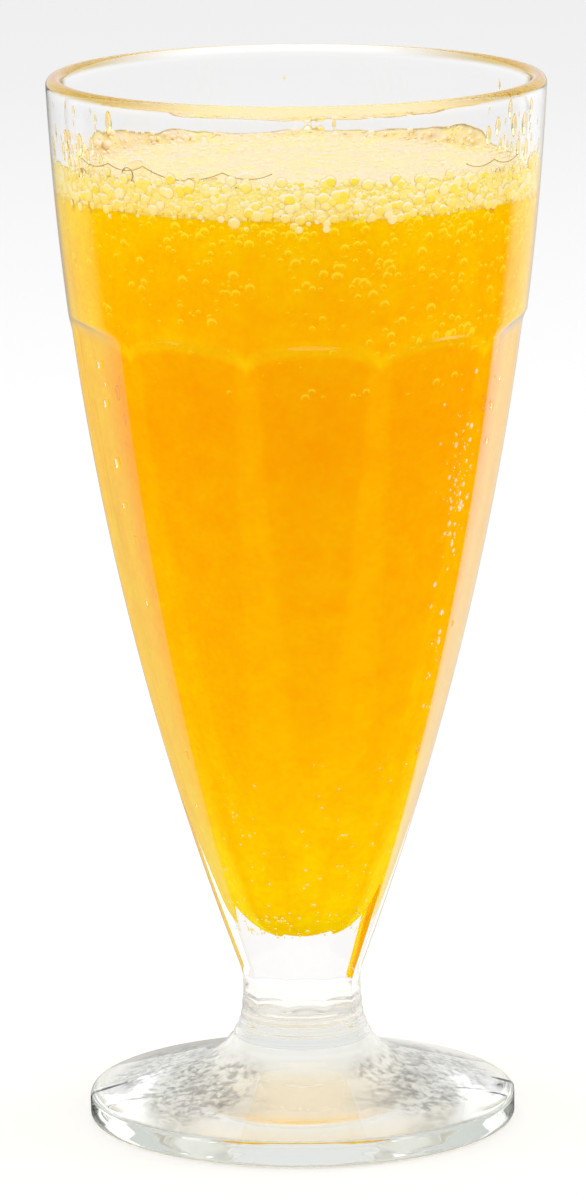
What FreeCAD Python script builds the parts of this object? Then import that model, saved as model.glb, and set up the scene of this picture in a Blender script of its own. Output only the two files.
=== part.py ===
"""A footed soda glass with ten pressed panels, filled with orange soda and topped with froth.

Millimetres, +Z up. The origin is on the glass's axis, at the surface that it stands on.
Profiles are drawn in the XZ half-plane and turned about the Z axis. A panel faces -Y.
"""
import FreeCAD, Part
import math
import os

# ---- driving dimensions: the glass ----
rim_height = 179.4            # top of the lip
rim_radius = 42.0             # outside of the lip
lip_wall = 2.8                # wall just under the lip, whose top is a half round
bowl_curve_radius = 508.0     # the bowl's outside is one long arc of this radius
neck_radius = 10.15           # the narrow waist between bowl and foot
neck_top = 24.3               # where the bowl starts to open
neck_bottom = 20.0            # where the neck starts to flare into the foot
neck_blend = 9.0              # rounding between the neck and the bowl
flare_radius = 11.0           # hollow curve from the neck to the foot
foot_radius = 36.4
foot_edge_height = 4.2        # the upper corner of the foot's edge, before rounding
foot_edge_round = 1.1
foot_heel_round = 0.7         # rounding under the edge
resting_ring_width = 2.6      # flat ring that the glass stands on
recess_depth = 1.6            # the hollow under the foot, at the axis

# ---- driving dimensions: the cavity ----
cavity_floor_height = 33.8    # lowest point of the cavity
cavity_floor_radius = 9.4     # round bottom of the cavity
cavity_curve_radius = 400.0   # the cavity's side is one long arc of this radius

# ---- driving dimensions: the pressed panels ----
panel_count = 10
panel_top = 136.4             # where the ridges between the panels meet the round wall
panel_bottom = 21.8           # where the panels run out on the neck
panel_run_out_radius = 3.8    # hollow curve that closes the top of each panel in an arch
panel_run_out_turn = 80.0     # degrees of that curve, which ends outside the wall
panel_end_slope = 45.0        # degrees, each panel's lower end slopes out to the neck

# ---- driving dimensions: the contents ----
drink_level = 159.3           # top of the orange soda, measured from the table
froth_thickness = 5.7         # froth above the drink, at the axis
froth_edge_rise = 1.1         # froth clings to the wall this much higher
froth_edge_width = 6.0        # width of the rising edge
fill_clearance = 0.05         # gap between the glass and what fills it

cutter_margin = 8.0           # how far cutting solids reach beyond what they cut


def arc_centre(first, first_distance, second, second_distance):
    """Centre (radius, height) at the two distances from the two points, on the axis side."""
    dr = second[0] - first[0]
    dz = second[1] - first[1]
    span = math.hypot(dr, dz)
    along = (first_distance ** 2 - second_distance ** 2 + span ** 2) / (2.0 * span)
    across = math.sqrt(first_distance ** 2 - along ** 2)
    foot_r = first[0] + along * dr / span
    foot_z = first[1] + along * dz / span
    return foot_r - across * dz / span, foot_z + across * dr / span


def radius_on_arc(centre, curve_radius, height):
    return centre[0] + math.sqrt(curve_radius ** 2 - (height - centre[1]) ** 2)


def point(radius, height):
    return FreeCAD.Vector(radius, 0.0, height)


def line(start, end):
    return Part.makeLine(point(*start), point(*end))


def arc(start, middle, end):
    return Part.Arc(point(*start), point(*middle), point(*end)).toShape()


def long_arc(start, middle, end):
    """An arc as a spline, because a ring turned from an arc wider than itself has no torus."""
    return Part.Arc(point(*start), point(*middle), point(*end)).toBSpline().toShape()


def turned(edges):
    """The solid that a closed profile sweeps round the Z axis."""
    face = Part.Face(Part.Wire(edges))
    solid = face.revolve(FreeCAD.Vector(0, 0, 0), FreeCAD.Vector(0, 0, 1), 360.0)
    return solid if solid.Volume > 0 else solid.reversed()


# ---- the bowl's outer arc ----
lip_radius = lip_wall / 2.0
lip_height = rim_height - lip_radius
bowl_centre = arc_centre(
    (neck_radius, neck_top), bowl_curve_radius,
    (rim_radius, lip_height), bowl_curve_radius)


def bowl_radius(height):
    return radius_on_arc(bowl_centre, bowl_curve_radius, height)


# ---- the cavity's side arc runs from the lip and ends tangent to the round bottom ----
cavity_floor_centre = cavity_floor_height + cavity_floor_radius
lip_inner_radius = rim_radius - lip_wall
cavity_centre = arc_centre(
    (0.0, cavity_floor_centre), cavity_curve_radius - cavity_floor_radius,
    (lip_inner_radius, lip_height), cavity_curve_radius)
tangent_angle = math.atan2(cavity_floor_centre - cavity_centre[1], -cavity_centre[0])


def cavity_side(height, clearance):
    """The point on the cavity's side at a height, drawn in by a clearance."""
    return radius_on_arc(cavity_centre, cavity_curve_radius - clearance, height), height


def cavity_edges(top, clearance):
    """Profile of the cavity from its bottom up to a height, drawn in by a clearance."""
    shrunk_floor = cavity_floor_radius - clearance
    low_angle = (tangent_angle - math.pi / 2.0) / 2.0
    low_middle = (
        shrunk_floor * math.cos(low_angle),
        cavity_floor_centre + shrunk_floor * math.sin(low_angle))
    side_start = (
        shrunk_floor * math.cos(tangent_angle),
        cavity_floor_centre + shrunk_floor * math.sin(tangent_angle))
    side_middle = cavity_side((side_start[1] + top) / 2.0, clearance)
    bottom = (0.0, cavity_floor_height + clearance)
    return [
        arc(bottom, low_middle, side_start),
        long_arc(side_start, side_middle, cavity_side(top, clearance)),
    ]


# ---- the glass: foot, neck and bowl turned in one piece ----
def foot_and_neck_edges():
    """Underside, edge, top and the flare that rises into the neck.

    The foot's top is a straight slope from the edge, tangent to the flare.
    """
    run = foot_radius - neck_radius - flare_radius
    rise = neck_bottom - foot_edge_height
    flare_turn = math.atan2(run, rise) + math.asin(flare_radius / math.hypot(run, rise))
    flare_end = (
        neck_radius + flare_radius * (1.0 - math.cos(flare_turn)),
        neck_bottom - flare_radius * math.sin(flare_turn))
    flare_middle = (
        neck_radius + flare_radius * (1.0 - math.cos(flare_turn / 2.0)),
        neck_bottom - flare_radius * math.sin(flare_turn / 2.0))
    edge_top = (foot_radius, foot_edge_height)
    edge_low = (foot_radius, 0.0)
    ring_inside = foot_radius - foot_heel_round - resting_ring_width
    recess_top = (0.0, recess_depth)
    recess_radius = (ring_inside ** 2 + recess_depth ** 2) / (2.0 * recess_depth)
    recess_half = ring_inside / 2.0
    recess_middle = (
        recess_half,
        recess_depth - recess_radius + math.sqrt(recess_radius ** 2 - recess_half ** 2))
    return [
        arc(recess_top, recess_middle, (ring_inside, 0.0)),
        line((ring_inside, 0.0), edge_low),
        line(edge_low, edge_top),
        line(edge_top, flare_end),
        arc(flare_end, flare_middle, (neck_radius, neck_bottom)),
        line((neck_radius, neck_bottom), (neck_radius, neck_top)),
    ]


def bowl_and_lip_edges():
    """Outside of the bowl and the two quarter rounds over the lip."""
    middle_height = (neck_top + lip_height) / 2.0
    crest_radius = rim_radius - lip_radius
    crest = (crest_radius, rim_height)
    side_step = lip_radius * math.cos(math.pi / 4.0)
    quarter_height = lip_height + lip_radius * math.sin(math.pi / 4.0)
    return [
        long_arc((neck_radius, neck_top), (bowl_radius(middle_height), middle_height),
                 (rim_radius, lip_height)),
        arc((rim_radius, lip_height), (crest_radius + side_step, quarter_height), crest),
        arc(crest, (crest_radius - side_step, quarter_height), (lip_inner_radius, lip_height)),
    ]


def round_edge(solid, radius, height, rounding):
    """Rounds the circular edge that lies at a radius and height."""
    for edge in solid.Edges:
        box = edge.BoundBox
        at_height = abs(box.ZMin - height) < 1e-4 and abs(box.ZMax - height) < 1e-4
        if at_height and abs(box.XMax - radius) < 1e-4:
            return solid.makeFillet(rounding, [edge])
    raise ValueError("no edge at radius %.2f and height %.2f" % (radius, height))


def glass_blank():
    """The glass before its panels are pressed: one turned solid, hollow above the neck.

    Its seam is turned to the middle of a panel, away from the ridges.
    """
    inside = list(reversed(cavity_edges(lip_height, 0.0)))
    axis = line((0.0, cavity_floor_height), (0.0, recess_depth))
    blank = turned(foot_and_neck_edges() + bowl_and_lip_edges() + inside + [axis])
    blank = round_edge(blank, foot_radius, foot_edge_height, foot_edge_round)
    blank = round_edge(blank, foot_radius, 0.0, foot_heel_round)
    blank = round_edge(blank, neck_radius, neck_top, neck_blend)
    blank.rotate(FreeCAD.Vector(0, 0, 0), FreeCAD.Vector(0, 0, 1), 180.0 / panel_count)
    return blank


def panel_cutter():
    """What one panel takes away, on the +X side: a flat-sided slab with a curved face."""
    flat = math.cos(math.pi / panel_count)
    depth = neck_radius * (1.0 - flat)
    end = (neck_radius, panel_bottom)
    low = (neck_radius * flat, panel_bottom + depth * math.tan(math.radians(panel_end_slope)))
    start = (neck_radius * flat, neck_top)
    middle_height = (neck_top + panel_top) / 2.0
    middle = (bowl_radius(middle_height) * flat, middle_height)
    top = (bowl_radius(panel_top) * flat, panel_top)
    face = Part.Arc(point(*start), point(*middle), point(*top))
    heading = face.tangent(face.LastParameter)[0]
    up = (heading.x, heading.z)
    out = (heading.z, -heading.x)

    def run_out(turn):
        side = panel_run_out_radius * (1.0 - math.cos(turn))
        rise = panel_run_out_radius * math.sin(turn)
        return top[0] + side * out[0] + rise * up[0], top[1] + side * out[1] + rise * up[1]

    turn = math.radians(panel_run_out_turn)
    run_out_end = run_out(turn)
    outside = rim_radius + cutter_margin
    edges = [
        line(end, low),
        line(low, start),
        face.toShape(),
        arc(top, run_out(turn / 2.0), run_out_end),
        line(run_out_end, (outside, run_out_end[1])),
        line((outside, run_out_end[1]), (outside, panel_bottom)),
        line((outside, panel_bottom), end),
    ]
    slab = Part.Face(Part.Wire(edges))
    slab.translate(FreeCAD.Vector(0, -outside, 0))
    return slab.extrude(FreeCAD.Vector(0, 2.0 * outside, 0))


def make_glass():
    """Bowl, neck and foot in one solid, with the panels pressed into the bowl's outside."""
    cutters = []
    for number in range(panel_count):
        cutter = panel_cutter()
        turn = -90.0 + number * 360.0 / panel_count
        cutter.rotate(FreeCAD.Vector(0, 0, 0), FreeCAD.Vector(0, 0, 1), turn)
        cutters.append(cutter)
    return glass_blank().cut(cutters)


# ---- the contents ----
def make_drink():
    """The orange soda, from the cavity's round bottom up to its level."""
    bottom = (0.0, cavity_floor_height + fill_clearance)
    top = (0.0, drink_level)
    wall = cavity_side(drink_level, fill_clearance)
    outline = cavity_edges(drink_level, fill_clearance)
    return turned(outline + [line(wall, top), line(top, bottom)])


def make_froth():
    """The froth on the drink: a thick disc whose edge climbs the wall a little."""
    middle_top = drink_level + froth_thickness
    edge_top = middle_top + froth_edge_rise
    low = cavity_side(drink_level, fill_clearance)
    side_middle = cavity_side((drink_level + edge_top) / 2.0, fill_clearance)
    high = cavity_side(edge_top, fill_clearance)
    hollow_start = (high[0] - froth_edge_width, middle_top)
    hollow_middle = (high[0] - froth_edge_width / 2.0, middle_top + froth_edge_rise / 4.0)
    return turned([
        line((0.0, drink_level), low),
        long_arc(low, side_middle, high),
        arc(high, hollow_middle, hollow_start),
        line(hollow_start, (0.0, middle_top)),
        line((0.0, middle_top), (0.0, drink_level)),
    ])


def main():
    os.makedirs("parts", exist_ok=True)
    pieces = {
        "glass": make_glass(),
        "orange_drink": make_drink(),
        "froth": make_froth(),
    }
    for name, shape in pieces.items():
        solid = shape.Solids[0]
        if len(shape.Solids) != 1 or not solid.isValid():
            raise ValueError(name + " is not one valid solid")
        solid.exportStep(os.path.join("parts", name + ".step"))
        print("%s: %.1f ml" % (name, solid.Volume / 1000.0))


main()
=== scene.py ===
from math import asin, atan2, cos, degrees, exp, hypot, pi, radians, sin, sqrt, tan

import bpy
import numpy as np
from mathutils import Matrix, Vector, noise


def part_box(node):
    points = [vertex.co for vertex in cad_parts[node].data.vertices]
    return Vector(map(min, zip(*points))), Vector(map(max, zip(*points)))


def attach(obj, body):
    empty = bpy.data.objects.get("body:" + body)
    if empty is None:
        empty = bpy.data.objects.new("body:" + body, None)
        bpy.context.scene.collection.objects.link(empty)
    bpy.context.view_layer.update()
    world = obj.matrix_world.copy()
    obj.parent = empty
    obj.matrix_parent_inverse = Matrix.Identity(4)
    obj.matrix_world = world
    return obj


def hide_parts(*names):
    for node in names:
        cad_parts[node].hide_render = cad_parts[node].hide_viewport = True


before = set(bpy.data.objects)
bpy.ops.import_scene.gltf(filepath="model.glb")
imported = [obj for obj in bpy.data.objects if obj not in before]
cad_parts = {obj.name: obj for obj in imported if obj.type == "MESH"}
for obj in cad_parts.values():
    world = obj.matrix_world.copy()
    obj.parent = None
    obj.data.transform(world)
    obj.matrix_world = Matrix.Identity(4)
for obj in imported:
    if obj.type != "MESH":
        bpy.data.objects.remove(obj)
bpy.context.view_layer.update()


# small helpers

white = (1.0, 1.0, 1.0)


def nodesIn(tree):
    # tools that fill one tree: an input takes a plain value, a socket or a node's first output
    def add(kind, values=None, **settings):
        node = tree.nodes.new(kind)
        for key, value in settings.items():
            setattr(node, key, value)
        for key, source in (values or {}).items():
            socket = node.inputs[key]
            source = source.outputs[0] if isinstance(source, bpy.types.Node) else source
            if isinstance(source, bpy.types.NodeSocket):
                tree.links.new(source, socket)
            else:
                socket.default_value = (*source, 1.0) if socket.type == "RGBA" else source
        return node

    def calc(operation, *sources):
        return add("ShaderNodeMath", dict(enumerate(sources)), operation=operation).outputs[0]

    def times(product, *factors):
        for factor in factors:
            product = calc("MULTIPLY", product, factor)
        return product

    def blend(factor, first, second, kind="MIX"):
        values = {"Factor": factor, "A": first, "B": second}
        return add("ShaderNodeMix", values, data_type="RGBA", blend_type=kind).outputs["Result"]

    def fade(source, start, end, most=1.0):
        values = {"Value": source, "From Min": start, "From Max": end, "To Max": most}
        return add("ShaderNodeMapRange", values, interpolation_type="SMOOTHSTEP").outputs[0]
    return add, calc, times, blend, fade


def newMaterial(name):
    material = bpy.data.materials.new(name)
    material.use_nodes = True
    material.node_tree.nodes.clear()
    return material, nodesIn(material.node_tree)


def surface(add, values):
    add("ShaderNodeOutputMaterial", {"Surface": add("ShaderNodeBsdfPrincipled", values)})


def objectCoords(add):
    return add("ShaderNodeTexCoord").outputs["Object"]


def vectorValue(add, operation, *sources):
    return add("ShaderNodeVectorMath", dict(enumerate(sources)), operation=operation).outputs["Value"]


def parts(add, coords):
    return add("ShaderNodeSeparateXYZ", {0: coords}).outputs


def stored(add, name, kind="FLOAT"):
    return add("GeometryNodeInputNamedAttribute", {"Name": name}, data_type=kind)


def multiplied(add, coords, shares=(1.0, 1.0, 0.0)):
    return add("ShaderNodeVectorMath", {0: coords, 1: shares}, operation="MULTIPLY")


def reachOf(add, coords):
    # distance from the upright axis
    return vectorValue(add, "LENGTH", multiplied(add, coords))


def newGroup(name, kind, inputs, outputs):
    # a node tree with named inputs and outputs, and the tools that fill it
    group = bpy.data.node_groups.new(name, kind + "NodeTree")
    for way, sockets in (("INPUT", inputs), ("OUTPUT", outputs)):
        for title, socketKind, *start in sockets:
            socket = group.interface.new_socket(title, in_out=way, socket_type="NodeSocket" + socketKind)
            if start:
                socket.default_value = start[0]
    return group, group.nodes.new("NodeGroupInput").outputs, nodesIn(group)


def geometryTree(name, *inputs):
    return newGroup(name, "Geometry", [("Geometry", "Geometry"), *inputs], [("Geometry", "Geometry")])


def floats(*titles):
    return [(title, "Float") for title in titles]


def endTree(add, geometry, material):
    # every tree that paints one material ends in this way
    real = add("GeometryNodeRealizeInstances", {0: geometry})
    add("NodeGroupOutput", {0: add("GeometryNodeSetMaterial", {"Geometry": real, "Material": material})})


def runNodes(piece, tree, values):
    # runs a Geometry Nodes tree on a piece and keeps the result as its plain mesh
    modifier = piece.modifiers.new(tree.name, "NODES")
    modifier.node_group = tree
    for item in tree.interface.items_tree:
        if item.item_type == "SOCKET" and item.in_out == "INPUT" and item.name in values:
            modifier[item.identifier] = values[item.name]
    graph = bpy.context.evaluated_depsgraph_get()
    mesh = bpy.data.meshes.new_from_object(piece.evaluated_get(graph))
    piece.modifiers.clear()
    piece.data = mesh
    mesh.name = piece.name


def linkObject(name, data):
    made = bpy.data.objects.new(name, data)
    bpy.context.scene.collection.objects.link(made)
    return made


def meshPiece(name, vertices, faces, material=None, smooth=True, edges=()):
    mesh = bpy.data.meshes.new(name)
    mesh.from_pydata(vertices, edges, faces)
    if material:
        mesh.materials.append(material)
    mesh.polygons.foreach_set("use_smooth", [smooth] * len(mesh.polygons))
    mesh.update()
    return linkObject(name, mesh)


def storeValues(piece, title, values, kind="FLOAT"):
    layer = piece.data.attributes.new(title, kind, "POINT")
    layer.data.foreach_set("value" if kind == "FLOAT" else "vector", values)


def finishPiece(piece, slotName, *nodeNames):
    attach(piece, "root")
    if nodeNames:
        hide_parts(*nodeNames)
    print(piece.name, len(piece.data.polygons), "faces")


# outlines: each is a list of (radius, height) in metres

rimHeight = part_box("glass")[1].z
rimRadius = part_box("glass")[1].x
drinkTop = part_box("orange_drink")[1].z
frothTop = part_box("froth")[1].z

glassShape = {
    "wall": 0.0028, "bowlCurve": 0.508,
    "neckRadius": 0.01015, "neckTop": 0.0243, "neckBottom": 0.0200, "neckSoft": 0.0006,
    "flare": 0.011, "footRadius": 0.0364, "footEdge": 0.0042, "footRound": 0.0011,
    "heelRound": 0.0007, "ringWidth": 0.0026, "recess": 0.0016,
    "floorHeight": 0.0338, "floorRadius": 0.0094, "cavityCurve": 0.400,
    "ripple": 0.00005, "rippleStep": 0.0016, "rippleFrom": 0.0095,
    "seam": 0.00009, "seamHeights": (0.0027, 0.0205), "seamReach": 0.0101,
    "rowStep": 0.0018, "neckStep": 0.0007, "neckRowsEnd": 0.030,
    "archStep": 0.00035, "archRows": (0.1355, 0.1425), "turns": 300,
}

panelPress = {
    "Panel Count": 10.0, "Panel Top": 0.1364, "Panel Bottom": 0.0262,
    "Run Out": 0.0038, "Softness": 0.0016, "Lower Slope": 0.14,
}


def arcCentre(first, firstDistance, second, secondDistance):
    dr, dz = second[0] - first[0], second[1] - first[1]
    span = hypot(dr, dz)
    along = (firstDistance ** 2 - secondDistance ** 2 + span ** 2) / (2 * span)
    across = sqrt(firstDistance ** 2 - along ** 2)
    return (first[0] + along * dr / span - across * dz / span,
            first[1] + along * dz / span + across * dr / span)


def arcPoints(centre, radius, startAngle, endAngle, count):
    angles = [startAngle + (endAngle - startAngle) * i / count for i in range(count + 1)]
    return [(centre[0] + radius * cos(a), centre[1] + radius * sin(a)) for a in angles]


def radiusOnArc(centre, curve, height):
    return centre[0] + sqrt(curve ** 2 - (height - centre[1]) ** 2)


lipRadius = glassShape["wall"] / 2
lipHeight = rimHeight - lipRadius
bowlCentre = arcCentre((glassShape["neckRadius"], glassShape["neckTop"]), glassShape["bowlCurve"],
                       (rimRadius, lipHeight), glassShape["bowlCurve"])
floorCentre = glassShape["floorHeight"] + glassShape["floorRadius"]
cavityCentre = arcCentre((0.0, floorCentre), glassShape["cavityCurve"] - glassShape["floorRadius"],
                         (rimRadius - glassShape["wall"], lipHeight), glassShape["cavityCurve"])
floorTangent = atan2(floorCentre - cavityCentre[1], -cavityCentre[0])


def cavityRadius(height, grow=0.0):
    return radiusOnArc(cavityCentre, glassShape["cavityCurve"] + grow, height)


def cavityOutline(top, grow, rows):
    radius = glassShape["floorRadius"] + grow
    outline = arcPoints((0.0, floorCentre), radius, -pi / 2, floorTangent, 14)
    outline[0] = (0.0, floorCentre - glassShape["floorRadius"] - grow)
    low = outline[-1][1]
    heights = [low + (top - low) * i / rows for i in range(1, rows + 1)]
    return outline + [(cavityRadius(height, grow), height) for height in heights]


def turnRows(rows, turns):
    # closes rows of (radius, height) round the axis to a skin; a row of one point is a pole
    vertices, numbers, faces = [], [], []
    for row in rows:
        numbers.append(range(len(vertices), len(vertices) + len(row)))
        for i, (radius, height) in enumerate(row):
            angle = 2 * pi * i / turns
            vertices.append((radius * cos(angle), radius * sin(angle), height))
    for low, high in zip(numbers, numbers[1:]):
        for i in range(turns):
            j = (i + 1) % turns
            if len(low) == 1:
                faces.append((low[0], high[j], high[i]))
            elif len(high) == 1:
                faces.append((low[i], low[j], high[0]))
            else:
                faces.append((low[i], low[j], high[j], high[i]))
    return vertices, faces, numbers


def turnOutline(outline, turns):
    return turnRows([[point] * (turns if point[0] > 0 else 1) for point in outline], turns)


# shader effects used by more than one material; a mottle is (scale, fine share, low, high)

drinkLook = {
    "reach": 0.00025, "hidden": 0.0018,
    "drift": (26.0, 0.35, -0.016, 0.016), "specks": (210.0, 0.5, 0.87, 1.11),
    "bandSpan": (0.022, 0.160), "red": 0.995, "blue": 0.0012,
    # the side, ridge and arch entries paint light and shade into the drink's colour
    "sidePale": 0.70, "sideTurns": (0.62, 0.28), "sideColour": (0.99, 0.83, 0.022),
    "ridgeShade": 0.32, "ridgeEnd": (0.001, -0.002), "ridgeColour": (0.995, 0.50, 0.0012),
    "archRise": 0.0030, "archDrop": 0.0006,
    "archWidth": (0.0022, 0.0003), "archGlow": 0.75, "archColour": (0.998, 0.78, 0.006),
    "bands": ((0.0, 0.685), (0.13, 0.680), (0.33, 0.635), (0.48, 0.606), (0.62, 0.612), (0.74, 0.555),
              (0.84, 0.575), (0.93, 0.635), (1.0, 0.68)),
}


def mottleGroup():
    # soft blotches between two values, coarse and fine noise together
    group, given, (add, calc, times, *_) = newGroup("mottle", "Shader", [
        ("Vector", "Vector"), ("Scale", "Float", 100.0), ("Fine", "Float", 0.4),
        ("Low", "Float", 0.0), ("High", "Float", 1.0)], floats("Value"))
    coarse, fine = [add("ShaderNodeTexNoise", {
        "Vector": given["Vector"], "Scale": scale, "Detail": detail, "Roughness": roughness})
        for scale, detail, roughness in ((given["Scale"], 3.0, 0.6),
                                         (times(given["Scale"], 4.3), 2.0, 0.7))]
    both = add("ShaderNodeMix", {"Factor": given["Fine"], "A": coarse, "B": fine}, data_type="FLOAT")
    spread = add("ShaderNodeMapRange", {"Value": both, "From Min": 0.3, "From Max": 0.7,
                                        "To Min": given["Low"], "To Max": given["High"]})
    add("NodeGroupOutput", {"Value": spread})
    return group


def bandsGroup():
    # colour of the drink by height, blended between a list of stops
    look, top = drinkLook, panelPress["Panel Top"]
    group, given, (add, calc, times, blend, fade) = newGroup(
        "drinkBands", "Shader", [("Vector", "Vector"), ("Shift", "Float", 0.0)], [("Color", "Color")])
    x, y, z = parts(add, given["Vector"])
    low, high = look["bandSpan"]
    height = {"Value": calc("ADD", z, given["Shift"]), "From Min": low, "From Max": high}
    ramp = add("ShaderNodeValToRGB", {"Fac": add("ShaderNodeMapRange", height)})
    ramp.color_ramp.interpolation = "B_SPLINE"
    while len(ramp.color_ramp.elements) < len(look["bands"]):
        ramp.color_ramp.elements.new(0.5)
    for element, (where, green) in zip(ramp.color_ramp.elements, look["bands"]):
        element.position = where
        element.color = (look["red"], green, look["blue"], 1.0)
    # painted light: the thin sides are painted paler than the middle, standing in for the light they let
    # through
    depth = calc("ABSOLUTE", calc("ARCTAN2", y, calc("ABSOLUTE", x)))
    colour = blend(fade(depth, *look["sideTurns"], look["sidePale"]), ramp, look["sideColour"])
    # painted light and shade: a soft line of light is painted along the arches at the tops of the panels,
    # and painted shade makes the ridges between darker
    step = 2 * pi / panelPress["Panel Count"]
    turn = calc("FLOORED_MODULO", calc("ADD", calc("ARCTAN2", y, x), (pi + step) / 2), step)
    share = calc("SUBTRACT", times(turn, 2 / step), 1.0)
    arch = calc("SQRT", calc("MAXIMUM", calc("SUBTRACT", 1.0, times(share, share)), 0.0))
    upTo, fullAt = [top + part for part in look["ridgeEnd"]]
    ridge = times(calc("SUBTRACT", 1.0, arch), fade(z, upTo, fullAt, look["ridgeShade"]))
    colour = blend(ridge, colour, look["ridgeColour"])
    line = calc("ADD", times(arch, look["archRise"]), top - look["archDrop"])
    near = calc("ABSOLUTE", calc("SUBTRACT", z, line))
    glow = fade(near, *look["archWidth"], look["archGlow"])
    add("NodeGroupOutput", {"Color": blend(glow, colour, look["archColour"])})
    return group


mottle = mottleGroup()
drinkBands = bandsGroup()


def mottled(add, coords, scale, fine, low=0.0, high=1.0):
    values = {"Vector": coords, "Scale": scale, "Fine": fine, "Low": low, "High": high}
    return add("ShaderNodeGroup", values, node_tree=mottle).outputs[0]


def banded(add, coords, shift=0.0):
    return add("ShaderNodeGroup", {"Vector": coords, "Shift": shift}, node_tree=drinkBands).outputs[0]


def tintedMaterial(name, scale, fine, first, second, values):
    # one finish whose colour drifts between two tints
    material, (add, calc, times, blend, *_) = newMaterial(name)
    tint = blend(mottled(add, objectCoords(add), scale, fine), first, second)
    surface(add, {"Base Color": tint, **values})
    return material


# bubbles and drops strewn over a surface

scatterSizes = ("Spacing", "Density", "Smallest", "Largest", "Bias", "Squash", "Stretch", "Sink")
scatterCounts = ("Seed", "Roundness")


def bubbleTree():
    # strews small domes over a carrier surface, facing out and standing upright
    tree, given, (add, calc, times, *_) = geometryTree(
        "bubbleScatter", *floats(*scatterSizes), *[(title, "Int") for title in scatterCounts],
        ("Material", "Material"))
    weight = stored(add, "weight")
    spread = add("GeometryNodeDistributePointsOnFaces", {
        "Mesh": given["Geometry"], "Distance Min": given["Spacing"], "Density Max": given["Density"],
        "Density Factor": weight, "Seed": given["Seed"]}, distribute_method="POISSON")
    chance, tone = [add("FunctionNodeRandomValue", {"Seed": calc("ADD", given["Seed"], step)},
                        data_type="FLOAT").outputs[1] for step in (17.0, 31.0)]
    ball = add("GeometryNodeMeshIcoSphere", {"Radius": 1.0, "Subdivisions": given["Roundness"]})
    # each bubble keeps its own place on its surface, for the shader
    keep = add("GeometryNodeStoreNamedAttribute", {
        "Geometry": ball, "Name": "shell", "Value": add("GeometryNodeInputPosition")},
        data_type="FLOAT_VECTOR", domain="POINT")
    dome = add("GeometryNodeSetShadeSmooth", {"Geometry": keep})
    spanned = calc("SUBTRACT", given["Largest"], given["Smallest"])
    size = calc("ADD", given["Smallest"], times(spanned, calc("POWER", chance, given["Bias"])))
    facing = add("FunctionNodeAlignRotationToVector", {"Vector": spread.outputs["Normal"]}, axis="Z")
    upright = add("FunctionNodeAlignRotationToVector", {"Rotation": facing, "Vector": (0.0, 0.0, 1.0)},
                  axis="Y", pivot_axis="Z")
    push = add("ShaderNodeVectorMath", {0: spread.outputs["Normal"],
                                        "Scale": times(size, given["Sink"])}, operation="SCALE")
    scale = add("ShaderNodeCombineXYZ", {0: size, 1: times(size, given["Stretch"]),
                                         2: times(size, given["Squash"])})
    place = add("GeometryNodeInstanceOnPoints", {
        "Points": add("GeometryNodeSetPosition", {"Geometry": spread, "Offset": push}),
        "Instance": dome, "Rotation": upright, "Scale": scale})
    mark = add("GeometryNodeStoreNamedAttribute", {"Geometry": place, "Name": "tone", "Value": tone},
               data_type="FLOAT", domain="INSTANCE")
    endTree(add, mark, given["Material"])
    return tree


bubbles = bubbleTree()


def strewBubbles(name, carrier, look, material, slotName):
    carrier.name = name
    values = {title: look[title.lower()] for title in scatterSizes + scatterCounts}
    runNodes(carrier, bubbles, {**values, "Material": material})
    finishPiece(carrier, slotName)


def onWall(turn, height, inset, skin=cavityRadius):
    # a place on a wall, its turn counted from the front towards the right
    radius = skin(height) - inset
    return radius * sin(turn), -radius * cos(turn), height


def patchOnWall(look, fromTurn, toTurn, inset, weigh, turns=120, skin=cavityRadius):
    # strip of a wall with a weight at each point
    rows, wide = 40, turns + 1
    vertices, faces, weights = [], [], []
    for row in range(rows + 1):
        height = look["low"] + (look["high"] - look["low"]) * row / rows
        for column in range(wide):
            turn = radians(fromTurn + (toTurn - fromTurn) * column / turns)
            vertices.append(onWall(turn, height, inset, skin))
            weights.append(weigh(height, degrees(turn)))
    for row in range(rows):
        for first in range(row * wide, row * wide + turns):
            faces.append((first, first + 1, first + wide + 1, first + wide))
    patch = meshPiece("patch", vertices, faces)
    storeValues(patch, "weight", weights)
    return patch


# the glass

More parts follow.
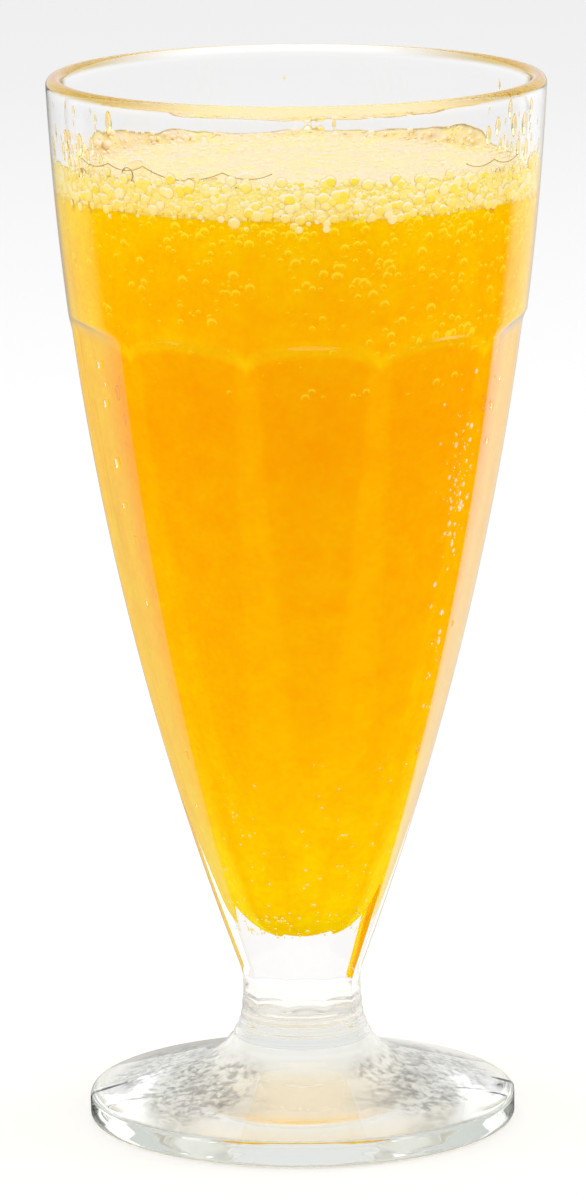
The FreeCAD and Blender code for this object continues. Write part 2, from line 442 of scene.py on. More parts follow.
def glassOutline():
    # (radius, height, outer skin?) from the hollow under the foot, up the outside and over the lip
    shape = glassShape
    neck, neckBottom, flareCurve = shape["neckRadius"], shape["neckBottom"], shape["flare"]
    footRadius, heelRound, footRound = shape["footRadius"], shape["heelRound"], shape["footRound"]
    run = footRadius - neck - flareCurve
    rise = neckBottom - shape["footEdge"]
    flareTurn = atan2(run, rise) + asin(flareCurve / hypot(run, rise))
    ringInside = footRadius - heelRound - shape["ringWidth"]
    recessCurve = (ringInside ** 2 + shape["recess"] ** 2) / (2 * shape["recess"])
    radii = [ringInside * i / 24 for i in range(25)]
    foot = [(r, shape["recess"] - recessCurve + sqrt(recessCurve ** 2 - r ** 2)) for r in radii]
    foot += arcPoints((footRadius - heelRound, heelRound), heelRound, -pi / 2, 0.0, 6)[1:]
    roundRun = footRound * tan(flareTurn / 2)
    foot += arcPoints((footRadius - footRound, shape["footEdge"] - roundRun), footRound, 0.0, flareTurn, 8)
    # the flare is straight from the edge, then curved, with fine ripples near the neck
    flare = []
    for r, z in arcPoints((neck + flareCurve, neckBottom), flareCurve, pi + flareTurn, pi, 64):
        above = z - shape["rippleFrom"]
        share = max(0.0, min(1.0, above / 0.002, (neckBottom - z) / 0.001))
        flare.append((r + shape["ripple"] * sin(above * 2 * pi / shape["rippleStep"]) * share, z))
    (edgeR, edgeZ), (flareR, flareZ) = foot[-1], flare[0]
    foot += [(edgeR + (flareR - edgeR) * i / 16, edgeZ + (flareZ - edgeZ) * i / 16) for i in range(1, 16)]
    outline = [(r, z, 0) for r, z in foot + flare]
    height = neckBottom
    while height < lipHeight - 1e-6:
        near = shape["archRows"][0] < height < shape["archRows"][1]
        low = height < shape["neckRowsEnd"]
        height += shape["archStep"] if near else shape["neckStep"] if low else shape["rowStep"]
        height = min(height, lipHeight)
        wall = radiusOnArc(bowlCentre, shape["bowlCurve"], height)
        soft = max(shape["neckSoft"] - abs(wall - neck), 0.0) ** 2 / (4 * shape["neckSoft"])
        outline.append((max(wall, neck) + soft, height, 1))
    lip = arcPoints((rimRadius - lipRadius, lipHeight), lipRadius, 0.0, pi, 16)
    inner = cavityOutline(lipHeight, 0.0, 56)[::-1]
    return outline + [(r, z, 0) for r, z in lip[1:] + inner[1:]]


def panelTree():
    # presses flat panels into the outer skin, each closed by an arch at its top
    tree, given, (add, calc, times, *_) = geometryTree("panelPress", *floats(
        *panelPress, "Curve", "Centre Radius", "Centre Height", "Neck Radius"), ("Material", "Material"))

    def square(source):
        return times(source, source)

    def leg(whole, part):
        return calc("SQRT", calc("SUBTRACT", square(whole), square(part)))

    x, y, z = parts(add, add("GeometryNodeInputPosition"))
    radius = calc("SQRT", calc("ADD", square(x), square(y)))
    step = calc("DIVIDE", 2 * pi, given["Panel Count"])
    half = times(step, 0.5)
    angle = calc("ADD", calc("ARCTAN2", y, x), pi / 2)
    turn = calc("SUBTRACT", calc("FLOORED_MODULO", calc("ADD", angle, half), step), half)
    arc = leg(given["Curve"], calc("SUBTRACT", z, given["Centre Height"]))
    wall = calc("MAXIMUM", calc("ADD", given["Centre Radius"], arc), given["Neck Radius"])
    above = calc("MINIMUM", calc("MAXIMUM", calc("SUBTRACT", z, given["Panel Top"]), 0.0),
                 times(given["Run Out"], 0.98))
    runOut = calc("SUBTRACT", given["Run Out"], leg(given["Run Out"], above))
    below = times(calc("MAXIMUM", calc("SUBTRACT", given["Panel Bottom"], z), 0.0), given["Lower Slope"])
    flat = calc("ADD", times(wall, calc("COSINE", half)), calc("ADD", runOut, below))
    pressed = calc("SMOOTH_MIN", radius, calc("DIVIDE", flat, calc("COSINE", turn)), given["Softness"])
    scale = calc("DIVIDE", pressed, calc("MAXIMUM", radius, 0.0001))
    moved = add("ShaderNodeCombineXYZ", {0: times(x, scale), 1: times(y, scale), 2: z})
    skin = stored(add, "outerSkin")
    shift = add("GeometryNodeSetPosition", {
        "Geometry": given["Geometry"], "Selection": skin, "Position": moved})
    endTree(add, shift, given["Material"])
    return tree


glassLook = {
    "frontGloss": (0.6, 0.6, 0.6), "wave": 55.0, "waveDepth": 0.0015,
    "coreRough": 0.7, "coreReach": (0.0260, 0.0190), "recessTop": (0.0020, 0.0017),
    # the lip's amber is a painted reflection of the drink
    "lipAmber": (0.50, 0.32, 0.045), "lipDepth": (0.0017, 0.0008), "lipSides": (0.014, 0.036),
    "streak": (0.82, 0.73, 0.54), "streaks": (320.0, 0.4, -0.8, 1.2), "streakStretch": (0.0, 1.0, 0.05),
    "streakTurns": (0.34, 0.22), "streakStart": (0.030, 0.045), "streakEnd": (0.166, 0.158),
    "footTop": (0.020, 0.012), "footGrey": (0.925, 0.94, 0.925),
    "smudge": (0.30, 0.31, 0.30), "smudges": (170.0, 0.7, -1.3, 2.1),
    "smudgeInner": (0.0125, 0.0160), "smudgeOuter": (0.0345, 0.0285), "smudgeSides": (0.25, 0.75),
    "rimGrey": (0.68, 0.71, 0.67), "rimReach": (0.0353, 0.0360),
    # the two edge colours are painted shade
    "edgeAmber": (0.30, 0.20, 0.06), "edgeGrey": (0.66, 0.68, 0.66), "edgeFacing": (0.78, 0.94),
}


def glassMaterial():
    look = glassLook
    material, (add, calc, times, blend, fade) = newMaterial("clearGlass")
    coords = objectCoords(add)
    x, y, z = parts(add, coords)
    reach = reachOf(add, coords)
    side = calc("ABSOLUTE", x)
    # the hollow under the foot is dull, the rest is fire-polished and a little wavy
    rough = times(fade(reach, *look["coreReach"], look["coreRough"]), fade(z, *look["recessTop"]))
    wave = add("ShaderNodeTexNoise", {
        "Vector": coords, "Scale": look["wave"], "Detail": 1.0, "Roughness": 0.6})
    bump = add("ShaderNodeBump", {"Height": wave, "Strength": 0.10, "Distance": look["waveDepth"]})
    # the lip's ends get a painted reflection of the drink's amber; wet streaks at the sides, grey smudges
    # and a grey rim on the foot
    lip = times(fade(z, *[rimHeight - depth for depth in look["lipDepth"]]), fade(side, *look["lipSides"]))
    colour = blend(lip, white, look["lipAmber"])
    drawn = multiplied(add, coords, look["streakStretch"])
    streaks = calc("MAXIMUM", mottled(add, drawn, *look["streaks"]), 0.0)
    aside = calc("DIVIDE", calc("ABSOLUTE", y), calc("MAXIMUM", side, 0.001))
    span = times(fade(z, *look["streakStart"]), fade(z, *look["streakEnd"]))
    wet = times(fade(aside, *look["streakTurns"]), streaks, span)
    colour = blend(wet, colour, blend(1.0, colour, look["streak"], "MULTIPLY"))
    foot = fade(z, *look["footTop"])
    colour = blend(foot, colour, look["footGrey"])
    share = calc("DIVIDE", side, calc("MAXIMUM", reach, 0.001))
    ring = times(fade(reach, *look["smudgeInner"]), fade(reach, *look["smudgeOuter"]),
                 fade(share, *look["smudgeSides"]))
    smudges = calc("MAXIMUM", mottled(add, coords, *look["smudges"]), 0.0)
    colour = blend(times(smudges, ring, foot), colour, look["smudge"])
    colour = blend(times(fade(reach, *look["rimReach"]), foot), colour, look["rimGrey"])
    # painted shade: a glass edge seen along the wall is painted darker, amber above the foot and grey on it
    facing = add("ShaderNodeLayerWeight", {"Blend": 0.5}).outputs["Facing"]
    edge = blend(foot, look["edgeAmber"], look["edgeGrey"])
    colour = blend(fade(facing, *look["edgeFacing"]), colour, edge)
    surface(add, {"Base Color": colour, "Roughness": rough, "IOR": 1.5, "Transmission Weight": 1.0,
                  "Specular Tint": look["frontGloss"], "Normal": bump})
    return material


def makeGlass():
    shape = glassShape
    outline = glassOutline()
    vertices, faces, rows = turnOutline([(r, z) for r, z, outer in outline], shape["turns"])
    low, high = shape["seamHeights"]
    marks = np.zeros(len(vertices), np.float32)
    for row, (radius, height, outer) in zip(rows, outline):
        if outer:
            marks[row[0]:row[-1] + 1] = 1.0
        elif low < height < high and radius > shape["seamReach"]:
            # the mould's seam runs over the foot and up the stem on two sides
            for first in (row[0], row[shape["turns"] // 2]):
                x, y, z = vertices[first]
                vertices[first] = (x * (1 + shape["seam"] / radius), y, z + shape["seam"])
    material = glassMaterial()
    glass = meshPiece("soda_glass", vertices, faces, material)
    storeValues(glass, "outerSkin", marks)
    runNodes(glass, panelTree(), {
        **panelPress, "Curve": shape["bowlCurve"], "Centre Radius": bowlCentre[0],
        "Centre Height": bowlCentre[1], "Neck Radius": shape["neckRadius"], "Material": material})
    finishPiece(glass, "clear_glass", "glass")


makeGlass()


# the drink

def drinkMaterial():
    material, (add, calc, times, blend, *_) = newMaterial("orangeSoda")
    coords = objectCoords(add)
    bands = banded(add, coords, mottled(add, coords, *drinkLook["drift"]))
    specks = mottled(add, coords, *drinkLook["specks"])
    shade = add("ShaderNodeCombineColor", {"Red": 1.0, "Green": specks, "Blue": 1.0})
    surface(add, {"Base Color": blend(1.0, bands, shade, "MULTIPLY"), "Roughness": 0.6,
                  "Specular IOR Level": 0.0})
    return material


def makeDrink():
    # its flat top lies hidden in the froth
    top = drinkTop + drinkLook["hidden"]
    vertices, faces, _ = turnOutline(cavityOutline(top, drinkLook["reach"], 60) + [(0.0, top)], 180)
    finishPiece(meshPiece("orange_soda", vertices, faces, drinkMaterial()), "orange_drink", "orange_drink")


makeDrink()


# bubbles: their attribute "shell" is the place on the bubble, Y up and Z out of the wall

def bubbleMaterial(name, look, ownBody=True, lying=False):
    # painted light and shade: a painted pale crescent above, a painted glint below, its own or the drink's
    # colour between, and a thin edge of painted shade
    material, (add, calc, times, blend, fade) = newMaterial(name)
    shell = add("ShaderNodeAttribute", attribute_name="shell").outputs["Vector"]
    tone = add("ShaderNodeAttribute", attribute_name="tone").outputs["Fac"]
    if ownBody:
        body = blend(tone, look["body"], look["other"])
    else:
        body = blend(look["own"], banded(add, objectCoords(add)), look["body"])
    if lying:
        # painted light: a lying bubble is lighter towards its top, with painted shade round its foot
        height = parts(add, shell)["Z"]
        lit = fade(height, 0.25, 0.95)
        thin = fade(height, 0.30, 0.05, look["edgeShare"])
    else:
        # painted light: a crescent above and a glint below; painted shade: a darker edge
        flat = multiplied(add, shell)
        glint = fade(vectorValue(add, "DISTANCE", flat, (0.15, -0.45, 0.0)), 0.50, 0.20)
        below = vectorValue(add, "DISTANCE", flat, (0.06, -0.34, 0.0))
        crescent = fade(below, look["crescent"], look["crescent"] + 0.30)
        lit = calc("MAXIMUM", times(glint, fade(tone, 0.55, 0.90, look["glint"])), crescent)
        thin = fade(vectorValue(add, "LENGTH", flat), 0.82, 0.96, look["edgeShare"])
    colour = blend(thin, blend(lit, body, look["light"]), look["edge"])
    surface(add, {"Base Color": colour, "Roughness": 0.4, "Specular IOR Level": 0.0})
    return material


# in each bubble look, the light colour, crescent and glint are painted light, and the edge colour is
# painted shade
risingBubbles = {
    "low": 0.130, "high": 0.1600, "spacing": 0.0006, "density": 1500000.0,
    "smallest": 0.00018, "largest": 0.00105, "bias": 2.0, "squash": 0.30, "stretch": 0.95,
    "sink": -0.12, "seed": 7, "roundness": 2, "crescent": 0.52, "edgeShare": 0.35,
    "own": 0.22, "glint": 0.0,
    "body": (0.99, 0.74, 0.006), "light": (0.995, 0.86, 0.045), "edge": (0.985, 0.52, 0.002),
}

fineFizz = {
    "low": 0.068, "high": 0.134, "spacing": 0.0005, "density": 1500000.0,
    "smallest": 0.00013, "largest": 0.00062, "bias": 3.4, "squash": 0.5, "stretch": 1.25,
    "sink": 0.0, "seed": 11, "roundness": 1, "crescent": 0.40, "edgeShare": 0.2, "glint": 0.0,
    "body": (0.998, 0.93, 0.25), "other": (1.0, 0.985, 0.70),
    "light": (1.0, 0.99, 0.80), "edge": (0.99, 0.70, 0.04),
}

lowFizz = {
    "low": 0.0336, "high": 0.066, "spacing": 0.0005, "density": 800000.0,
    "smallest": 0.00012, "largest": 0.00036, "bias": 1.8, "squash": 0.4, "stretch": 1.0,
    "sink": 0.0, "seed": 5, "roundness": 1, "crescent": 0.45, "edgeShare": 0.6, "own": 0.6, "glint": 0.0,
    "body": (0.99, 0.84, 0.12), "light": (0.998, 0.97, 0.60), "edge": (0.93, 0.46, 0.002),
}


def bell(distance, width):
    return exp(-(distance / width) ** 2)


def makeBubbles():
    def nearTop(height, turn):
        depth = (drinkTop - height) / 0.030
        patchy = 0.35 + 1.3 * max(0.0, noise.noise(Vector((turn * 0.05, height * 160.0, 2.0))) + 0.25)
        right = 0.62 + 0.38 * sin(radians(turn))
        return max(0.0, 1.2 * exp(-2.3 * depth) * right * patchy)

    def rightBand(height, turn):
        middle = min(48.0 + 180.0 * max(0.0, 0.130 - height), 57.0)
        return bell(turn - middle, 5.0) * (0.10 + 0.9 * bell(height - 0.1135, 0.0085))

    def atFloor(height, turn):
        trail = 0.8 * bell(turn + 48.0 - 7.0 * (0.064 - height) / 0.024, 2.2) if height < 0.062 else 0.0
        return 0.05 + 1.0 * exp(-(height - 0.0336) / 0.0035) + trail

    for name, look, weigh, start, end in (("rising_bubbles", risingBubbles, nearTop, -180, 180),
                                          ("fine_fizz", fineFizz, rightBand, 0, 90),
                                          ("low_fizz", lowFizz, atFloor, -180, 180)):
        patch = patchOnWall(look, start, end, -drinkLook["reach"], weigh)
        material = bubbleMaterial(name + "Look", look, "other" in look)
        strewBubbles(name, patch, look, material, "orange_drink")


makeBubbles()


# the froth

frothLook = {
    "base": 0.0011, "sink": 0.0014,
    "edgeRise": 0.0012, "edgeWidth": 0.005,
    "lumps": 0.0004, "lumpScale": 190.0, "scallops": 0.0019, "scallopWidth": 0.004,
    "backShare": 0.22, "skinLow": 0.0001, "skinHigh": 0.0032,
    "skinEnd": 67.0, "skinFade": 9.0, "skinWidth": 0.0026,
    "cells": 900.0, "cellDepth": 0.0005,
    "cloud": (120.0, 0.4, -0.6, 1.5), "pits": (330.0, 0.4, -0.5, 0.8),
    "pale": (0.915, 0.735, 0.53), "yellow": (0.935, 0.80, 0.33),
    "pit": (0.975, 0.80, 0.17), "side": (1.0, 0.93, 0.33),
    "sideReach": (0.0016, 0.0006), "sideTop": (0.0014, 0.0002), "sideBehind": 0.0030,
    "behind": (0.006, 0.018),
}

frothBase = drinkTop + frothLook["base"]


def frothMaterial():
    # cream foam of small cells, yellower where it is thin and against the wall
    look, wall = frothLook, cavityRadius(frothTop)
    material, (add, calc, times, blend, fade) = newMaterial("paleFroth")
    coords = objectCoords(add)
    cells = add("ShaderNodeTexVoronoi", {"Vector": coords, "Scale": look["cells"], "Randomness": 1.0},
                feature="SMOOTH_F1")
    bump = add("ShaderNodeBump", {"Height": cells, "Strength": 0.8, "Distance": look["cellDepth"]},
               invert=True)
    colour = blend(mottled(add, coords, *look["cloud"]), look["pale"], look["yellow"])
    colour = blend(mottled(add, coords, *look["pits"]), colour, look["pit"])
    x, y, z = parts(add, coords)
    level = calc("ADD", z, times(fade(y, *look["behind"]), look["sideBehind"]))
    side = times(fade(reachOf(add, coords), *[wall - part for part in look["sideReach"]]),
                 fade(level, *[frothTop + part for part in look["sideTop"]]))
    surface(add, {"Base Color": blend(side, colour, look["side"]), "Roughness": 0.35,
                  "Specular IOR Level": 0.25, "Normal": bump})
    return material


def frothSurface(radius, turn, edge):
    # height of the froth's top: lumpy, climbing a little at the wall and most at the front
    look = frothLook
    x, y = radius * cos(turn), radius * sin(turn)

    def drift(layer, scale):
        return noise.noise(Vector((x, y, layer)) * scale)

    def nearWall(width, power):
        return max(0.0, 1 - (edge - radius) / width) ** power

    climb = look["backShare"] + (1 - look["backShare"]) * (0.5 - 0.5 * sin(turn))
    lift = look["edgeRise"] * climb * nearWall(look["edgeWidth"], 2)
    lump = noise.fractal(Vector((x, y, 0.0)) * look["lumpScale"], 0.7, 2.1, 3)
    scallop = climb * nearWall(look["scallopWidth"], 2) * (abs(drift(0.1, 240.0)) + 0.6 * drift(0.3, 90.0))
    # a skin of foam clings to the wall behind, highest a little to each side
    aside = abs(atan2(x, y))
    skin = look["skinLow"] + 2 * (look["skinHigh"] - look["skinLow"]) * (1 - cos(aside))
    ends = min(max((look["skinEnd"] - degrees(aside)) / look["skinFade"], 0.0), 1.0)
    skin *= ends * ends * (3 - 2 * ends) * (0.9 + 0.35 * drift(0.5, 170.0))
    skin *= nearWall(look["skinWidth"], 1.5)
    return frothTop - look["sink"] + lift + skin + look["lumps"] * (lump - 0.4) + look["scallops"] * scallop


def frothMesh():
    turns, rings, reach = 240, 64, drinkLook["reach"]
    edge = cavityRadius(frothTop, reach)
    angles = [2 * pi * i / turns for i in range(turns)]
    crests = [frothSurface(edge, angle, edge) - 0.0003 for angle in angles]
    rows = [[(0.0, frothBase)]]
    for i in range(7):
        levels = [frothBase + (crest - frothBase) * i / 6 for crest in crests]
        rows.append([(cavityRadius(level, reach), level) for level in levels])
    for ring in range(rings):
        radius = edge * (1 - ring / rings)
        rows.append([(radius, frothSurface(radius, angle, edge)) for angle in angles])
    rows.append([(0.0, frothSurface(0.0, 0.0, edge))])
    vertices, faces, _ = turnRows(rows, turns)
    return meshPiece("froth_layer", vertices, faces, frothMaterial())


# the light colour is painted light on the domes' tops, and the edge colour is painted shade at their feet
topBubbles = {
    "spacing": 0.0009, "density": 1300000.0, "smallest": 0.00026, "largest": 0.00085, "bias": 3.0,
    "squash": 0.85, "stretch": 1.0, "sink": -0.35, "seed": 3, "roundness": 2, "edgeShare": 0.3,
    "inset": 0.0009, "middle": 0.45, "rim": 0.25,
    "body": (0.93, 0.775, 0.32), "other": (0.905, 0.715, 0.54),
    "light": (0.94, 0.81, 0.63), "edge": (0.92, 0.68, 0.24),
}

wallBubbles = {
    "low": 0.1568, "high": 0.1672, "spacing": 0.00066, "density": 4600000.0,
    "smallest": 0.00022, "largest": 0.00120, "bias": 2.6, "squash": 0.40, "stretch": 0.95,
    "sink": 0.0, "seed": 21, "roundness": 2, "crescent": 0.72, "edgeShare": 0.85, "glint": 0.7,
    "ragged": 0.0010, "lowFrom": 0.0004, "lowFade": 0.00045,
    "crestRise": 0.0002, "crestTilt": 0.0014, "highFade": 0.0012,
    "body": (0.998, 0.88, 0.10), "other": (1.0, 0.985, 0.62),
    "light": (1.0, 1.0, 0.94), "edge": (0.955, 0.69, 0.04),
}


def frothCarrier():
    # the froth's top once more, as the surface that its bubbles are strewn on
    turns, rings = 120, 40
    edge = cavityRadius(frothTop) - topBubbles["inset"]
    vertices, faces, weights = [(0.0, 0.0, frothSurface(0.0, 0.0, edge))], [], [1.0]
    for ring in range(1, rings + 1):
        radius = edge * ring / rings
        for i in range(turns):
            turn = 2 * pi * i / turns
            height = frothSurface(radius, turn, edge)
            vertices.append((radius * cos(turn), radius * sin(turn), height))
        weights += [topBubbles["middle"] + topBubbles["rim"] * (ring / rings) ** 3] * turns
    for i in range(turns):
        j = (i + 1) % turns
        faces.append((0, 1 + i, 1 + j))
        for low in range(1, 1 + (rings - 1) * turns, turns):
            faces.append((low + i, low + turns + i, low + turns + j, low + j))
    carrier = meshPiece("froth_bubbles", vertices, faces)
    storeValues(carrier, "weight", weights)
    return carrier


def makeFroth():
    finishPiece(frothMesh(), "froth", "froth")
    strewBubbles("froth_bubbles", frothCarrier(), topBubbles,
                 bubbleMaterial("frothBubble", topBubbles, lying=True), "froth")

    def atWall(height, turn):
        look = wallBubbles
        ragged = look["ragged"] * noise.noise(Vector((turn * 0.16, height * 300.0, 4.0)))
        below = exp(-max(0.0, frothBase + look["lowFrom"] + 0.6 * ragged - height) / look["lowFade"])
        crest = frothTop + look["crestRise"] + look["crestTilt"] * cos(radians(turn))
        above = min(1.0, max(0.0, (crest + 1.6 * ragged - height) / look["highFade"]))
        return min(below, above)

    patch = patchOnWall(wallBubbles, -180, 180, -drinkLook["reach"], atWall, turns=180)
    strewBubbles("froth_ring", patch, wallBubbles, bubbleMaterial("frothRing", wallBubbles), "froth")


makeFroth()


# large clear bubbles against the wall, the thin films between them, and drops

bigBubbleLook = {
    "turns": (-66.0, -57.0, -48.5, -43.0, -36.0, -30.5, -24.5, -17.0, -9.0, 52.0, 58.5),
    "heights": (0.1655, 0.1640, 0.1668, 0.1640, 0.1630, 0.1662, 0.1628, 0.1652, 0.1622, 0.1660, 0.1640),
    "sizes": (0.0021, 0.0016, 0.0023, 0.0013, 0.0011, 0.0017, 0.0013, 0.0027, 0.0012, 0.0013, 0.0016),
    "usual": 0.0018, "film": 0.00006, "line": 0.00016, "touch": 0.86, "inset": 0.0001, "tilt": -0.08,
}


def thinTube(add, curve, radius, **more):
    section = add("GeometryNodeCurvePrimitiveCircle", {"Resolution": 6, "Radius": radius})
    tube = add("GeometryNodeCurveToMesh", {"Curve": curve, "Profile Curve": section, **more})
    return add("GeometryNodeSetShadeSmooth", {"Geometry": tube})


def shellTree():
    # a hollow bubble and its amber contact ring at every point of a cloud, both made for the usual size
    tree, given, (add, calc, times, *_) = geometryTree("bubbleShells", *floats(
        "Film", "Line", "Touch"), ("Film Material", "Material"), ("Line Material", "Material"))

    def joined(*parts):
        join = add("GeometryNodeJoinGeometry")
        for part in parts:
            tree.links.new(part.outputs[0], join.inputs[0])
        return join

    size = stored(add, "size")
    outward = stored(add, "outward", "FLOAT_VECTOR")
    points = add("GeometryNodeMeshToPoints", {"Mesh": given["Geometry"]})
    inside = calc("SUBTRACT", 1.0, calc("DIVIDE", given["Film"], bigBubbleLook["usual"]))
    outer, inner = [add("GeometryNodeMeshIcoSphere", {"Radius": radius, "Subdivisions": 4})
                    for radius in (1.0, inside)]
    shell = joined(add("GeometryNodeFlipFaces", {"Mesh": inner}), outer)
    sunk = times(size, given["Touch"], -1.0)
    back = add("ShaderNodeVectorMath", {0: outward, "Scale": sunk}, operation="SCALE")
    balls = add("GeometryNodeInstanceOnPoints", {
        "Points": add("GeometryNodeSetPosition", {"Geometry": points, "Offset": back}),
        "Instance": add("GeometryNodeSetShadeSmooth", {"Geometry": shell}), "Scale": size})
    circle = add("GeometryNodeCurvePrimitiveCircle", {"Resolution": 28})
    thickness = calc("DIVIDE", given["Line"], bigBubbleLook["usual"])
    reach = calc("SQRT", calc("SUBTRACT", 1.0, times(given["Touch"], given["Touch"])))
    rings = add("GeometryNodeInstanceOnPoints", {
        "Points": points, "Instance": thinTube(add, circle, thickness), "Scale": times(size, reach),
        "Rotation": add("FunctionNodeAlignRotationToVector", {"Vector": outward}, axis="Z")})
    painted = [add("GeometryNodeSetMaterial", {"Geometry": geometry, "Material": given[title]})
               for geometry, title in ((balls, "Film Material"), (rings, "Line Material"))]
    add("NodeGroupOutput", {0: add("GeometryNodeRealizeInstances", {0: joined(*painted)})})
    return tree


def makeBigBubbles():
    look = bigBubbleLook
    vertices, outward = [], []
    for turn, height in zip(look["turns"], look["heights"]):
        turn = radians(turn)
        vertices.append(onWall(turn, height, look["inset"]))
        outward += [sin(turn), -cos(turn), look["tilt"]]
    cloud = meshPiece("big_bubbles", vertices, [])
    storeValues(cloud, "size", look["sizes"])
    storeValues(cloud, "outward", outward, "FLOAT_VECTOR")
    runNodes(cloud, shellTree(), {"Film": look["film"], "Line": look["line"], "Touch": look["touch"],
                                  "Film Material": film, "Line Material": syrup})
    finishPiece(cloud, "froth")


def lineTree():
    # a thin line of juice along a path of edges
    tree, given, (add, *_) = geometryTree(
        "juiceLine", ("Thickness", "Float"), ("Material", "Material"))
    curve = add("GeometryNodeMeshToCurve", {"Mesh": given["Geometry"]})
    endTree(add, thinTube(add, curve, given["Thickness"], **{"Fill Caps": True}), given["Material"])
    return tree


filmLineLook = {
    "thickness": 0.00008, "height": 0.1683, "ragged": 0.0009, "sag": 0.0016, "sagSpan": 20.0,
    "inset": 0.00005,
    "spans": ((-66.0, -55.0), (-55.0, -43.5), (-43.5, -22.0), (-22.0, -10.0), (40.0, 50.0), (50.0, 61.0)),
}


def makeFilmLines():
    look, steps = filmLineLook, 24

    def raised(turn):
        return look["ragged"] * noise.noise(Vector((turn, 0.0, 0.0)))

    vertices, edges = [], []
    for start, end in look["spans"]:
        edges += [(i, i + 1) for i in range(len(vertices), len(vertices) + steps)]
        for i in range(steps + 1):
            share = i / steps
            depth = (1 - (2 * share - 1) ** 2) * look["sag"] * (end - start) / look["sagSpan"]
            height = look["height"] + raised(start) * (1 - share) - depth + raised(end) * share
            vertices.append(onWall(radians(start + (end - start) * share), height, look["inset"]))
    lines = meshPiece("film_lines", vertices, [], edges=edges)
    runNodes(lines, lineTree(), {"Thickness": look["thickness"], "Material": syrup})
    finishPiece(lines, "froth")


dropLook = {
    "low": 0.1600, "high": 0.1772, "spacing": 0.0011, "density": 260000.0,
    "smallest": 0.00020, "largest": 0.00080, "bias": 2.0, "squash": 0.42, "stretch": 2.6,
    "sink": 0.05, "seed": 14, "roundness": 3, "reach": 0.00005,
    "left": (-68.0, 11.0), "right": (62.0, 13.0), "least": 0.006,
    "back": 0.02, "backTurn": 140.0, "backAbove": 0.168,
}

tearLook = {
    "low": 0.0560, "high": 0.1330, "spacing": 0.0014, "density": 60000.0,
    "smallest": 0.00025, "largest": 0.00085, "bias": 1.6, "squash": 0.40, "stretch": 1.6,
    "sink": 0.0, "roundness": 3, "thickAbove": 0.118, "thinShare": 0.25,
    "bands": (("tears_right", 53.0, 66.0, 9), ("tears_left", -71.0, -56.0, 4)),
}


def panelSkin(turn):
    # outer radius of the glass by height, in the direction of one turn from the front
    half = pi / panelPress["Panel Count"]
    inPanel = (turn + half) % (2 * half) - half

    def radius(height):
        wall = radiusOnArc(bowlCentre, glassShape["bowlCurve"], height)
        return min(wall, wall * cos(half) / cos(inPanel))
    return radius


def makeDrops():
    def atSides(height, turn):
        look = dropLook
        back = look["back"] if abs(turn) > look["backTurn"] and height > look["backAbove"] else 0.0
        left, right = [bell(turn - middle, width) for middle, width in (look["left"], look["right"])]
        return left + right + back + look["least"]

    def mostlyHigh(height, turn):
        return 1.0 if height > tearLook["thickAbove"] else tearLook["thinShare"]

    drop = tintedMaterial("juiceDrop", 180.0, 0.3, (1.0, 0.94, 0.72), (1.0, 0.80, 0.34),
                          {"Roughness": 0.0, "IOR": 1.36, "Transmission Weight": 1.0})
    patch = patchOnWall(dropLook, -180, 180, -dropLook["reach"], atSides)
    strewBubbles("wall_drops", patch, dropLook, drop, "orange_drink")
    for name, start, end, seed in tearLook["bands"]:
        skin = panelSkin(radians((start + end) / 2))
        patch = patchOnWall(tearLook, start, end, 0.0, mostlyHigh, skin=skin)
        strewBubbles(name, patch, dict(tearLook, seed=seed), drop, "clear_glass")


film = tintedMaterial("bubbleFilm", 400.0, 0.3, (1.0, 0.99, 0.95), (1.0, 0.97, 0.82),
                      {"Roughness": 0.0, "IOR": 1.33, "Transmission Weight": 1.0})
# thin lines of juice, painted dark amber: the juice's own colour deepened by painted shade
syrup = tintedMaterial("amberLine", 300.0, 0.4, (0.30, 0.18, 0.03), (0.74, 0.52, 0.13),
                       {"Roughness": 0.2, "Specular IOR Level": 0.3})
makeBigBubbles()
makeFilmLines()
makeDrops()


# floor, light and camera

stageLook = {
    "floorRings": (0.0, 0.3, 0.6, 1.0, 1.5, 2.5, 6.0), "floorDrop": 0.0002,
    "albedo": 0.8, "glow": 0.17, "greyBeyond": 1.35,
    "nearShade": 0.95, "farShade": 0.805,
    "brightFrom": (0.40, 0.54), "mirroredLeft": 0.5, "mirroredRight": 0.9,
    "cardSides": (0.1, 0.4),
    "worldLevel": 1.07, "worldBrightFrom": (0.25, 0.75), "backdrop": 0.88, "through": 0.12,
    "lampAim": (0.0, 0.0, 0.09),
    "lamps": (("lampLeft", (-1.5, 0.3, 0.7), 1.2, 5.0), ("lampRight", (1.5, 0.3, 0.7), 1.2, 6.0),
              ("lampTop", (0.0, 0.2, 1.8), 1.5, 1.5)),
    "bounces": (("max", 28), ("diffuse", 5), ("glossy", 22), ("transmission", 14)),
}


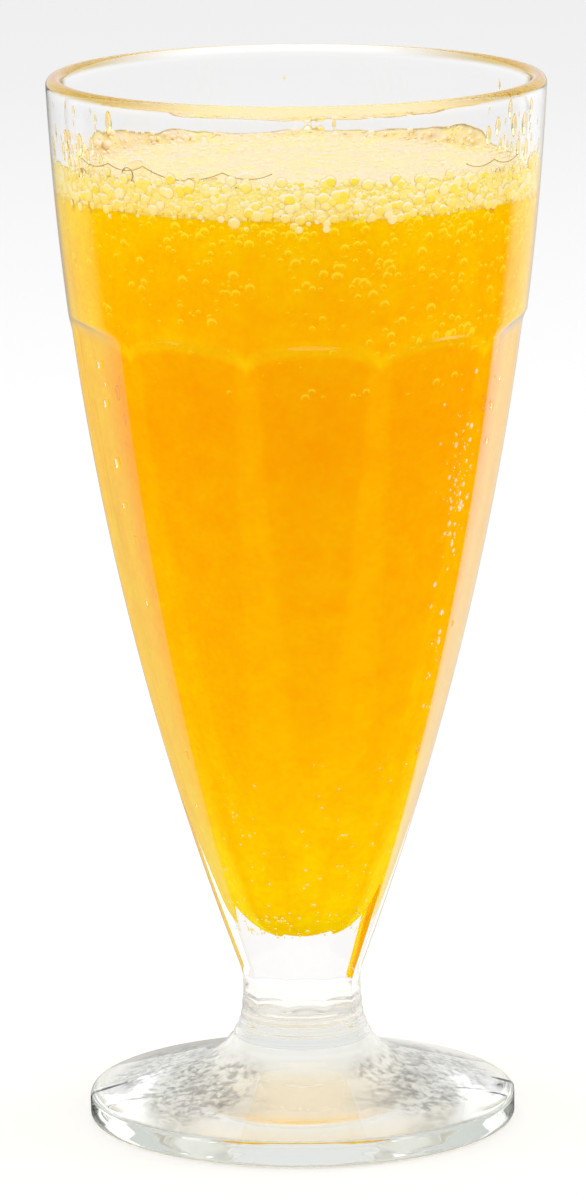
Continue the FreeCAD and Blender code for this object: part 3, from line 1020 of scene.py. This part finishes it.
def floorMaterial():
    # plain pale floor; in reflections it is dark in front, as an unlit room is, and bright behind
    look = stageLook
    material, (add, calc, times, _, fade) = newMaterial("paleFloor")
    coords = objectCoords(add)
    light = add("ShaderNodeLightPath").outputs
    x, y, z = parts(add, coords)
    away = vectorValue(add, "LENGTH", coords)
    distance = calc("MAXIMUM", away, 0.01)
    shade = add("ShaderNodeMapRange", {
        "Value": away, "From Min": 0.0, "From Max": look["greyBeyond"],
        "To Min": look["nearShade"], "To Max": look["farShade"]})
    behind = fade(calc("DIVIDE", y, distance), *look["brightFrom"])
    left, right = look["cardSides"]
    card = add("ShaderNodeMapRange", {
        "Value": calc("DIVIDE", x, distance), "From Min": left, "From Max": right,
        "To Min": look["mirroredLeft"], "To Max": look["mirroredRight"]}, interpolation_type="SMOOTHSTEP")
    mirror = calc("MAXIMUM", calc("SUBTRACT", light["Is Reflection Ray"], light["Diffuse Depth"]), 0.0)
    shown = add("ShaderNodeMix", {"Factor": mirror, "A": 1.0, "B": times(behind, card)},
                data_type="FLOAT")
    tone = times(shade, shown)
    seen = calc("MAXIMUM", calc("MAXIMUM", light["Is Camera Ray"], light["Is Glossy Ray"]),
                light["Is Transmission Ray"])
    surface(add, {"Base Color": times(tone, look["albedo"]), "Roughness": 1.0,
                  "Specular IOR Level": 0.0, "Emission Color": white,
                  "Emission Strength": times(seen, times(tone, look["glow"]))})
    return material


def makeFloor():
    outline = [(r, -stageLook["floorDrop"]) for r in stageLook["floorRings"]]
    vertices, faces, _ = turnOutline(outline, 96)
    floor = meshPiece("floor", vertices, faces, floorMaterial(), smooth=False)
    for polygon in floor.data.polygons:
        polygon.flip()


def makeWorld():
    # plain light for everything and a pale backdrop; only reflections show the darker front of the room
    world = bpy.data.worlds.new("studio")
    bpy.context.scene.world = world
    world.use_nodes = True
    world.node_tree.nodes.clear()
    add, calc, times, _, fade = nodesIn(world.node_tree)
    towards = add("ShaderNodeTexCoord").outputs["Generated"]
    light = add("ShaderNodeLightPath").outputs
    through = light["Is Transmission Ray"]
    behind = vectorValue(add, "DOT_PRODUCT", towards, (0.0, 1.0, 0.0))
    mirrored = fade(behind, *stageLook["worldBrightFrom"])
    pale = calc("ADD", stageLook["backdrop"], times(through, stageLook["through"]))
    shown = add("ShaderNodeMix", {"Factor": calc("MAXIMUM", light["Is Camera Ray"], through),
                                  "A": mirrored, "B": pale}, data_type="FLOAT")
    level = add("ShaderNodeMix", {"Factor": calc("GREATER_THAN", light["Diffuse Depth"], 0.5),
                                  "A": shown, "B": stageLook["worldLevel"]}, data_type="FLOAT")
    add("ShaderNodeOutputWorld", {0: add("ShaderNodeBackground", {"Color": white, "Strength": level})})


def makeLamps():
    aim = Vector(stageLook["lampAim"])
    for name, place, size, power in stageLook["lamps"]:
        lamp = bpy.data.lights.new(name, "AREA")
        lamp.shape = "SQUARE"
        lamp.size = size
        lamp.energy = power
        holder = linkObject(name, lamp)
        holder.location = place
        holder.rotation_euler = (aim - Vector(place)).to_track_quat("-Z", "Y").to_euler()
        holder.visible_glossy = False


cameraPlace = {
    "azimuth": -4.2, "distance": 1.2489, "height": 0.3419,
    "aimHeight": 0.08964, "aimLeft": 0.0011, "roll": -0.38,
    "focal": 225.2, "sensor": 36.0, "clip": (0.05, 50.0),
}


def makeCamera():
    look = cameraPlace
    data = bpy.data.cameras.new("camera")
    data.sensor_width = look["sensor"]
    data.lens = look["focal"]
    data.clip_start, data.clip_end = look["clip"]
    camera = linkObject("camera", data)
    turn = radians(look["azimuth"])
    back = Vector((sin(turn), -cos(turn), 0.0))
    right = Vector((cos(turn), sin(turn), 0.0))
    camera.location = back * look["distance"] + Vector((0, 0, look["height"]))
    aim = Vector((0, 0, look["aimHeight"])) - right * look["aimLeft"]
    camera.rotation_euler = (aim - camera.location).to_track_quat("-Z", "Y").to_euler()
    camera.rotation_euler.rotate_axis("Z", radians(look["roll"]))
    bpy.context.scene.camera = camera


makeFloor()
makeWorld()
makeLamps()
makeCamera()
bpy.context.scene.view_settings.view_transform = "Standard"
for kind, count in stageLook["bounces"]:
    setattr(bpy.context.scene.cycles, kind + "_bounces", count)
bpy.context.scene.cycles.blur_glossy = 0.0
print("stage set")
